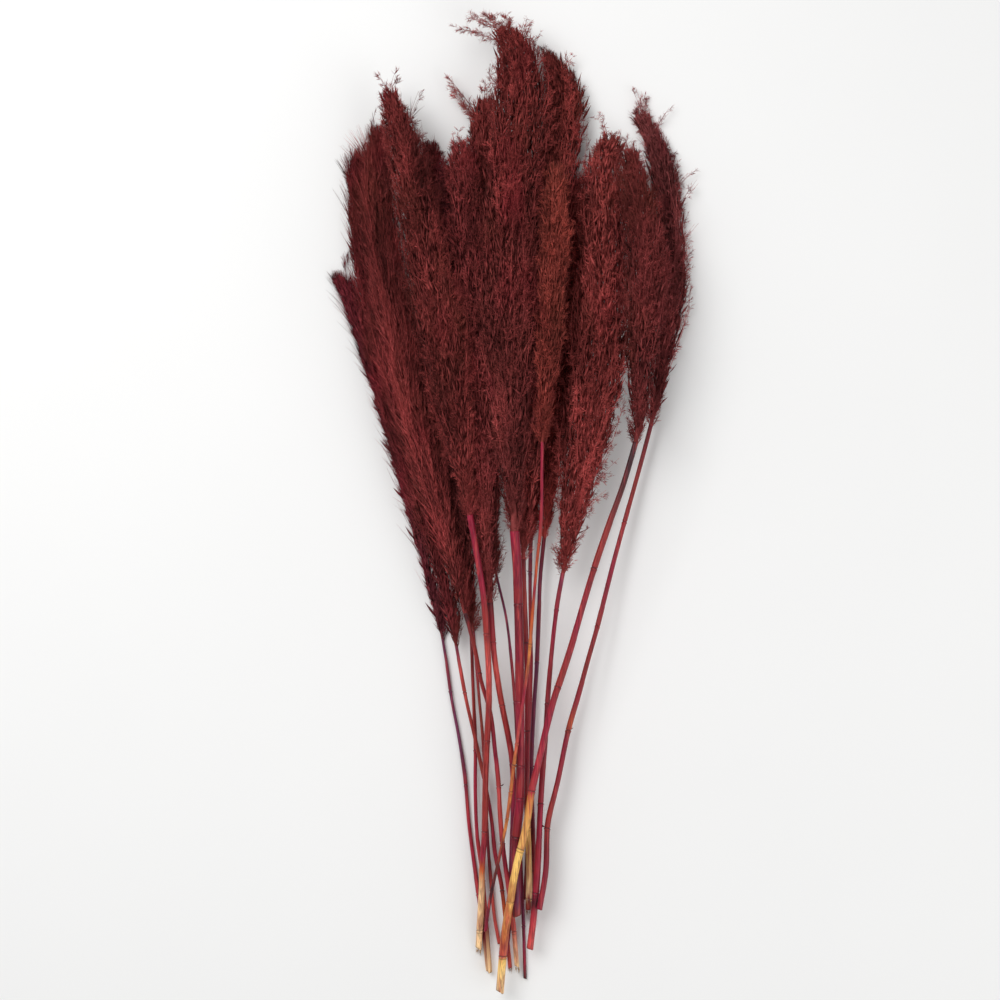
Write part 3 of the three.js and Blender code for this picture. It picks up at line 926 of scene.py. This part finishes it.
def reed_surface(rng, course, y, turn, settings):
    """The radius of a reed at each ring and angle, with how ringed and how sheathed it is there."""
    base = np.interp(y, [course.cut, course.foot], [course.butt, course.neck])[:, None]
    wave = np.sin(y[:, None] * 45 + rng.uniform(0, 6)) * 0.02 + np.sin(turn * 2 + y[:, None] * 9) * 0.02
    flutes = np.sin(turn * 7 + rng.uniform(0, 6)) * 0.01
    radius = base * (1 + wave + flutes)
    ring = np.zeros_like(radius)
    sheath = np.zeros_like(radius)
    for joint in course.joints:
        d = (y[:, None] - joint + 0.3 * MM * np.sin(turn + joint * 90)) / MM
        size = settings.ridge * rng.uniform(0.7, 1.2)
        radius += size * (np.exp(-((d / 0.7) ** 2)) + 0.35 * np.exp(-((d / 3.2) ** 2)))
        radius -= size * 0.75 * np.exp(-(((d - 1.5) / 0.45) ** 2))
        dark = rng.uniform(0.35, 1.0)
        above = np.exp(-(((d - 1.2) / 0.7) ** 2))
        below = rng.uniform(0, 0.8) * np.exp(-(((d + 1.6) / 0.6) ** 2))
        ring += dark * (above + below)
        top = joint + rng.uniform(14, 60) * MM + 5 * MM * np.cos(turn - rng.uniform(0, 6))
        cover = (0.5 - 0.5 * np.tanh((y[:, None] - top) / MM)) * (d > 1.8)
        sheath = np.maximum(sheath, cover)
    return radius + settings.sheath * sheath, ring, sheath


def strip_map(v, u, strips):
    """Map places for a long wall, cut into strips that lie side by side."""
    strip = np.minimum((v.mean(-1) * strips).astype(int), strips - 1)[:, None]
    across = (strip + 0.04 + 0.92 * u) / strips
    along = 0.04 + 0.92 * (v * strips - strip).clip(-0.03, 1.03)
    return np.stack([across, along], -1)


def add_reed_wall(growth, course, y, radius, ring, sheath, turn, settings, rng):
    """The wall of a reed, its cut end with a hollow, and the closed end inside the plume."""
    sides = len(turn)
    middle = np.stack([course.x.at(y), y, course.z.at(y)], -1)
    round_ = spokes(unit(np.gradient(middle, axis=0)), turn)
    wall = middle[:, None] + round_ * radius[..., None]
    slope = rng.uniform(-0.8, 0.8) * course.butt
    shift = slope * np.cos(turn) + rng.uniform(-0.1, 0.1, sides) * course.butt
    fade = np.exp(-(y - course.cut) / (3 * MM))
    wall[:, :, 1] += shift * fade[:, None]
    depths = np.array([0.0, 0.4, 1.0, 1.0])[:, None] * settings.bore_depth
    inner = np.array([0.9, settings.bore, settings.bore * 0.9, 0.02])[:, None, None] * radius[0][:, None]
    rim = middle[0] + round_[0] * inner
    rim[:, :, 1] += shift * (1 - depths / settings.bore_depth) + depths + 0.1 * MM
    top = middle[-1] + round_[-1] * radius[-1][:, None] * 0.05
    top[:, 1] += 0.2 * MM
    points = np.concatenate([rim[::-1], wall, top[None]])
    rows = len(points)
    k, j, walls = tube_walls(rows, sides)
    ends = np.stack([np.arange(sides)[::-1], (rows - 1) * sides + np.arange(sides)])
    along = np.concatenate([np.full(len(rim), course.cut), y, [course.foot]])
    v = np.linspace(0, 1, rows)
    wall_v = np.stack([v[k], v[k], v[k + 1], v[k + 1]], -1)
    wall_u = np.stack([j, j + 1, j + 1, j], -1) / sides
    end_map = np.stack([np.cos(turn), np.sin(turn)], -1) * 0.004 + [0.5, 0.008]
    marks = {
        "along": np.repeat((along - course.cut) / (course.foot - course.cut), sides),
        "ring": np.concatenate([np.zeros(len(rim) * sides), ring.ravel(), np.zeros(sides)]),
        "sheath": np.concatenate([np.zeros(len(rim) * sides), sheath.ravel(), np.zeros(sides)]),
        "pith": np.concatenate([np.ones(len(rim) * sides), np.zeros(wall.shape[0] * sides + sides)]),
    }
    growth.add(
        points, [walls, ends],
        [strip_map(wall_v, wall_u, WALL_STRIPS), np.stack([end_map, end_map + [0.1, 0]])], **marks,
    )


def add_splinters(growth, rng, course, count):
    """Torn fibres at a cut end."""
    turn = rng.uniform(0, 2 * math.pi, count)
    radius = course.butt * rng.uniform(0.6, 0.95, count)
    x = course.x.at(course.cut) + radius * np.cos(turn)
    z = course.z.at(course.cut) + radius * np.sin(turn)
    base = np.stack([x, np.full(count, course.cut + 2 * MM), z], -1)
    direction = unit(rng.normal(0, 0.1, (count, 3)) + [0, -1, 0])
    length = rng.uniform(4, 8.5, count) * MM
    spikelets(
        growth, rng, base, direction, length, np.full(count, 0.35 * MM), *BUD_MAP,
        along=0.0, ring=0.25, sheath=0.0, pith=0.6,
    )


def add_buds(growth, rng, course, buds):
    """Dead buds and thorns that stand out at some joints."""
    for joint, side, length in buds:
        y = course.joints[joint] + 1.5 * MM
        x = course.x.at(y) + side * course.butt * 0.7
        base = np.array([[x, y, course.z.at(y) + 0.2 * MM]])
        direction = unit(np.array([[side * 1.0, 0.75, 0.1]]))
        length = np.array([length * MM])
        spikelets(
            growth, rng, base, direction, length, BUD_THICKNESS * length, *BUD_MAP, belly=0.4,
            along=0.9, ring=1.0, sheath=0.0, pith=0.0,
        )


def make_reed(name, settings):
    """One stem, with its ridged joints, remains of sheaths and hollow cut end."""
    rng = np.random.default_rng(seed_of(name) + 500)
    course = reed_course(name)
    y = reed_stations(course, settings)
    turn = np.arange(settings.sides) * 2 * math.pi / settings.sides
    radius, ring, sheath = reed_surface(rng, course, y, turn, settings)
    growth = Growth()
    add_reed_wall(growth, course, y, radius, ring, sheath, turn, settings, rng)
    if name in RAGGED_ENDS:
        add_splinters(growth, rng, course, SPLINTERS)
    add_buds(growth, rng, course, BUDS.get(name, []))
    for points in growth.points:
        points[:, 2] = np.maximum(points[:, 2], REED_CLEARANCE)
    piece = growth.piece("reed_" + name, reed_material(name))
    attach(piece, "root")
    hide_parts("stem_" + name)


# ---- Materials ----


class Shader:
    """A new material's nodes, with short ways to add and join them."""

    def __init__(self, name):
        self.material = bpy.data.materials.new(name)
        self.material.use_nodes = True
        self.tree = self.material.node_tree
        self.surface = self.tree.nodes["Principled BSDF"]

    def node(self, kind, inputs=None, **settings):
        """A new node, with values or other nodes' outputs for its inputs."""
        made = self.tree.nodes.new("ShaderNode" + kind)
        for key, value in settings.items():
            setattr(made, key, value)
        for key, value in (inputs or {}).items():
            self.put(made.inputs[key], value)
        return made

    def put(self, socket, value):
        """Joins another node's output to an input, or sets the input's own value."""
        if isinstance(value, bpy.types.NodeSocket):
            self.tree.links.new(value, socket)
        else:
            socket.default_value = value

    def mark(self, name):
        """A value that the mesh carries at its points."""
        return self.node("Attribute", attribute_name=name).outputs["Fac"]

    def sum(self, operation, *values, clamp=False):
        """A sum, product or the like of its values."""
        made = self.node("Math", operation=operation, use_clamp=clamp)
        for socket, value in zip(made.inputs, values, strict=False):
            self.put(socket, value)
        return made.outputs[0]

    def mix(self, fac, a, b, blend="MIX"):
        """Two colours mixed, from all of a to all of b."""
        made = self.node("Mix", data_type="RGBA", blend_type=blend)
        self.put(made.inputs["Factor"], fac)
        self.put(made.inputs[6], a if isinstance(a, bpy.types.NodeSocket) else (*a, 1))
        self.put(made.inputs[7], b if isinstance(b, bpy.types.NodeSocket) else (*b, 1))
        return made.outputs[2]

    def ramp(self, fac, stops):
        """A colour looked up along a row of colours."""
        made = self.node("ValToRGB", {"Fac": fac})
        points = made.color_ramp.elements
        while len(points) < len(stops):
            points.new(0.5)
        for point, (place, colour) in zip(points, stops, strict=True):
            point.position = place
            point.color = (*colour, 1)
        return made.outputs["Color"]

    def times(self, colour, value):
        """The colour made darker or paler by a value."""
        grey = self.node("CombineColor", {0: value, 1: value, 2: value}).outputs[0]
        return self.mix(1.0, colour, grey, "MULTIPLY")

    def noise(self, scale, detail=3.0, stretch=(1, 1, 1)):
        """Soft random spots, finer for a larger scale or stretch."""
        place = self.node("TexCoord").outputs["Object"]
        place = self.node("Mapping", {"Vector": place, "Scale": stretch}).outputs[0]
        return self.node("TexNoise", {"Vector": place, "Scale": scale, "Detail": detail}).outputs[0]

    def levels(self, value, low, high, to_low=0.0, to_high=1.0):
        """A value's range from low to high, spread over another range."""
        inputs = {0: value, 1: low, 2: high, 3: to_low, 4: to_high}
        return self.node("MapRange", inputs).outputs[0]

    def bump(self, height, distance, strength=1.0):
        """Fine relief on the surface."""
        made = self.node("Bump", {"Height": height, "Distance": distance, "Strength": strength})
        self.put(self.surface.inputs["Normal"], made.outputs[0])


def scaled(colour, by):
    """A darker or paler colour, kept within what a surface can be."""
    return tuple(min(1.0, c * by) for c in colour)


def fluff_material(name, kind, settings):
    """Dyed fluff: each strand has its own tone, which also carries painted shade low and deep in the plume
    and painted light high in it, and the dye took unevenly in patches.
    """
    s = Shader("fluff_" + name)
    tones = []
    for colour in (kind.foot, kind.tip):
        dye = scaled(shade(*colour), settings.strength)
        stops = [(0.0, scaled(dye, settings.shadow)), (0.45, dye), (1.0, scaled(dye, settings.light))]
        tones.append(s.ramp(s.mark("tone"), stops))
    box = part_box("plume_" + name)
    where = s.node("SeparateXYZ", {0: s.node("TexCoord").outputs["Object"]}).outputs[1]
    tone = s.mix(s.levels(where, box[0][1], box[1][1]), *tones)
    crimson = s.levels(s.noise(22.0, 2.0, (1, 0.5, 1)), 0.55, 0.75, 0.0, 0.5)
    brown = s.levels(s.noise(30.0, 3.0, (1, 0.4, 1)), 0.52, 0.74, 0.0, 0.55)
    colour = s.mix(crimson, tone, settings.crimson)
    colour = s.mix(brown, colour, settings.brown)
    patch = s.levels(s.noise(26.0, 2.0, (1, 0.4, 1)), 0.3, 0.7, 0.6, 1.4)
    paler = s.sum("MULTIPLY", s.levels(s.mark("tip"), 0.0, 1.0, 0.86, 1.16), patch)
    s.put(s.surface.inputs["Base Color"], s.times(colour, paler))
    s.put(s.surface.inputs["Roughness"], s.levels(s.mark("tone"), 0.0, 1.0, 0.85, 0.62))
    s.surface.inputs["Specular IOR Level"].default_value = 0.12
    return s.material


def reed_material(name):
    """Dyed reed: bands of dye along the stem, streaks along the grain, specks and dark joints."""
    s = Shader("dyed_" + name)
    grain = s.noise(1.0, 4.0, (900, 22, 900))
    place = s.sum("ADD", s.mark("along"), s.levels(grain, 0.3, 0.7, -0.012, 0.012))
    colour = s.ramp(place, [(where, DYES[dye]) for where, dye in REED_DYES[name]])
    missed = s.levels(s.noise(1.0, 2.0, (260, 14, 260)), 0.56, 0.72, 0.0, 0.6)
    colour = s.mix(missed, colour, DYES["salmon"])
    deep = s.levels(s.noise(1.0, 3.0, (420, 16, 420)), 0.5, 0.72, 0.0, 0.75)
    colour = s.mix(deep, colour, DYES["maroon"])
    colour = s.times(colour, s.levels(grain, 0.3, 0.7, 0.5, 1.3))
    specks = s.levels(s.noise(700.0, 2.0), 0.7, 0.76, 0.0, 0.7)
    colour = s.mix(specks, colour, DYES["dark"])
    sheath = s.sum("MULTIPLY", s.mark("sheath"), s.levels(s.noise(60.0, 2.0), 0.35, 0.7, 0.1, 0.55))
    colour = s.mix(sheath, colour, DYES["brick"])
    colour = s.mix(s.sum("MULTIPLY", s.mark("ring"), 0.85, clamp=True), colour, DYES["dark"])
    pith = s.ramp(s.noise(500.0, 3.0), [(0.3, shade(150, 104, 70)), (0.7, shade(222, 188, 146))])
    colour = s.mix(s.mark("pith"), colour, pith)
    s.put(s.surface.inputs["Base Color"], colour)
    rough = s.levels(grain, 0.3, 0.7, 0.3, 0.48)
    s.put(s.surface.inputs["Roughness"], s.sum("ADD", rough, s.sum("MULTIPLY", s.mark("pith"), 0.3)))
    s.surface.inputs["Specular IOR Level"].default_value = 0.28
    s.bump(s.sum("ADD", grain, s.sum("MULTIPLY", s.mark("sheath"), 0.4)), 0.12 * MM, 0.6)
    return s.material


def floor_material(settings):
    """A plain pale floor with a faint mottle."""
    s = Shader("pale_floor")
    mottle = s.levels(s.noise(3.0, 4.0), 0.3, 0.7, 0.985, 1.0)
    s.put(s.surface.inputs["Base Color"], s.times(tuple(settings.floor), mottle))
    s.put(s.surface.inputs["Roughness"], s.levels(s.noise(9.0, 3.0), 0.3, 0.7, 0.75, 0.9))
    s.surface.inputs["Specular IOR Level"].default_value = 0.2
    return s.material


# ---- Stage ----

FLOOR_SIZE = 16.0
FLOOR_DROP = 0.2 * MM
KEY_PLACE = (-1.1, 1.0, 2.2)
FILL_PLACE = (1.6, -0.9, 1.6)
LIGHT_SIZE = 1.7
CAMERA_SHIFT = (-10.5 * MM, 6 * MM)  # from over the middle of the bundle


def make_floor(settings):
    """A floor wide enough to fill any view, a little under the bundle."""
    half = FLOOR_SIZE / 2
    corners = [(x * half, y * half, -FLOOR_DROP) for x, y in ((-1, -1), (1, -1), (1, 1), (-1, 1))]
    mesh = bpy.data.meshes.new("floor")
    mesh.from_pydata(corners, [], [(0, 1, 2, 3)])
    mesh.materials.append(floor_material(settings))
    floor = bpy.data.objects.new("floor", mesh)
    bpy.context.scene.collection.objects.link(floor)


def make_light(name, place, power):
    """A large soft light that points at the middle of the bundle."""
    data = bpy.data.lights.new(name, "AREA")
    data.size = LIGHT_SIZE
    data.energy = power
    light = bpy.data.objects.new(name, data)
    light.location = place
    light.rotation_euler = (-Vector(place)).to_track_quat("-Z", "Y").to_euler()
    light.visible_camera = False
    bpy.context.scene.collection.objects.link(light)


def make_daylight(strength):
    """Even white light from all round."""
    world = bpy.data.worlds.new("daylight")
    world.use_nodes = True
    back = world.node_tree.nodes["Background"]
    back.inputs["Color"].default_value = (1.0, 1.0, 1.0, 1.0)
    back.inputs["Strength"].default_value = strength
    bpy.context.scene.world = world


def make_camera(settings):
    """Looks straight down, with the plume tips at the top of the picture."""
    low, high = CAD_BOX
    data = bpy.data.cameras.new("camera")
    data.lens = settings.lens
    height = settings.sharp_height + settings.view_width * settings.lens / data.sensor_width
    camera = bpy.data.objects.new("camera", data)
    across, along = CAMERA_SHIFT
    camera.location = ((low.x + high.x) / 2 + across, (low.y + high.y) / 2 + along, height)
    bpy.context.scene.collection.objects.link(camera)
    bpy.context.scene.camera = camera


# ---- Operators ----


class PAMPAS_OT_reeds(bpy.types.Operator):
    """Make the jointed reed stems"""

    bl_idname = "pampas.reeds"
    bl_label = "Reed Stems"

    def execute(self, context):
        for name in stalk_names():
            make_reed(name, context.scene.pampas_reeds)
        return {"FINISHED"}


class PlumesOperator:
    """Makes every plume of one habit."""

    habit = ""

    def execute(self, context):
        for name in stalk_names():
            if PLUMES[name].habit == self.habit:
                make_plume(name, context.scene.pampas_plumes)
        return {"FINISHED"}


class PAMPAS_OT_soft_plumes(PlumesOperator, bpy.types.Operator):
    """Make the soft, streaky plumes"""

    bl_idname = "pampas.soft_plumes"
    bl_label = "Soft Plumes"
    habit = "soft"


class PAMPAS_OT_combed_plumes(PlumesOperator, bpy.types.Operator):
    """Make the long plumes with straight strands"""

    bl_idname = "pampas.combed_plumes"
    bl_label = "Combed Plumes"
    habit = "combed"


class PAMPAS_OT_curly_plume(PlumesOperator, bpy.types.Operator):
    """Make the broad curly plume"""

    bl_idname = "pampas.curly_plume"
    bl_label = "Curly Plume"
    habit = "curly"


class PAMPAS_OT_stage(bpy.types.Operator):
    """Make the floor, the lights and the camera"""

    bl_idname = "pampas.stage"
    bl_label = "Stage"

    def execute(self, context):
        settings = context.scene.pampas_stage
        make_floor(settings)
        make_light("key", KEY_PLACE, settings.key_power)
        make_light("fill", FILL_PLACE, settings.fill_power)
        make_daylight(settings.daylight)
        make_camera(settings)
        context.scene.view_settings.view_transform = "Standard"
        return {"FINISHED"}


STEPS = (
    PAMPAS_OT_stage, PAMPAS_OT_reeds, PAMPAS_OT_soft_plumes, PAMPAS_OT_combed_plumes, PAMPAS_OT_curly_plume,
)


class PAMPAS_PT_bundle(bpy.types.Panel):
    """The bundle's settings and steps, in the 3D view's sidebar"""

    bl_idname = "PAMPAS_PT_bundle"
    bl_label = "Pampas Grass Bundle"
    bl_space_type = "VIEW_3D"
    bl_region_type = "UI"
    bl_category = "Pampas"

    def draw(self, context):
        for group in ("pampas_reeds", "pampas_plumes", "pampas_stage"):
            settings = getattr(context.scene, group)
            column = self.layout.column(align=True)
            for key in settings.__annotations__:
                column.prop(settings, key)
        for step in STEPS:
            self.layout.operator(step.bl_idname)


CLASSES = (ReedSettings, PlumeSettings, StageSettings, *STEPS, PAMPAS_PT_bundle)


def register():
    for one in CLASSES:
        bpy.utils.register_class(one)
    bpy.types.Scene.pampas_reeds = bpy.props.PointerProperty(type=ReedSettings)
    bpy.types.Scene.pampas_plumes = bpy.props.PointerProperty(type=PlumeSettings)
    bpy.types.Scene.pampas_stage = bpy.props.PointerProperty(type=StageSettings)


def unregister():
    del bpy.types.Scene.pampas_stage
    del bpy.types.Scene.pampas_plumes
    del bpy.types.Scene.pampas_reeds
    for one in reversed(CLASSES):
        bpy.utils.unregister_class(one)


def main():
    """Makes the whole scene."""
    register()
    bpy.ops.pampas.stage()
    bpy.ops.pampas.reeds()
    bpy.ops.pampas.soft_plumes()
    bpy.ops.pampas.combed_plumes()
    bpy.ops.pampas.curly_plume()


if __name__ == "__main__":
    main()
